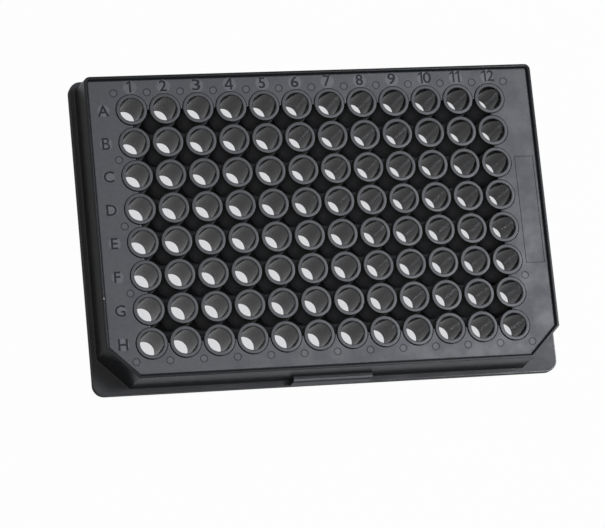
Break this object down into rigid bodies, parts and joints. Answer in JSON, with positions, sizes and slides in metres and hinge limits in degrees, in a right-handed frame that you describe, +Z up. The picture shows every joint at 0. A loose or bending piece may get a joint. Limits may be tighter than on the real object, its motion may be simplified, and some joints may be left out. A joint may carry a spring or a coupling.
{
  "type": "well plate",
  "caption": "Black laboratory well plate with a clear bottom: ringed round wells in a recessed deck, a raised lip, a flanged foot and two cut corners.",
  "frame": {"origin": "middle of the footprint, on the surface the plate lies on", "axes": "+X along the rows towards column 12, +Y along the columns towards row A, +Z up out of the wells"},
  "size_m": [0.1278, 0.0854, 0.0143],
  "materials": {
    "body": "black pigmented polystyrene, fine matt grain on the deck and polished walls",
    "clear_sheet": "clear optical film"
  },
  "bodies": {
    "root": {"plate_body": "body", "clear_bottom": "clear_sheet"}
  },
  "joints": []
}
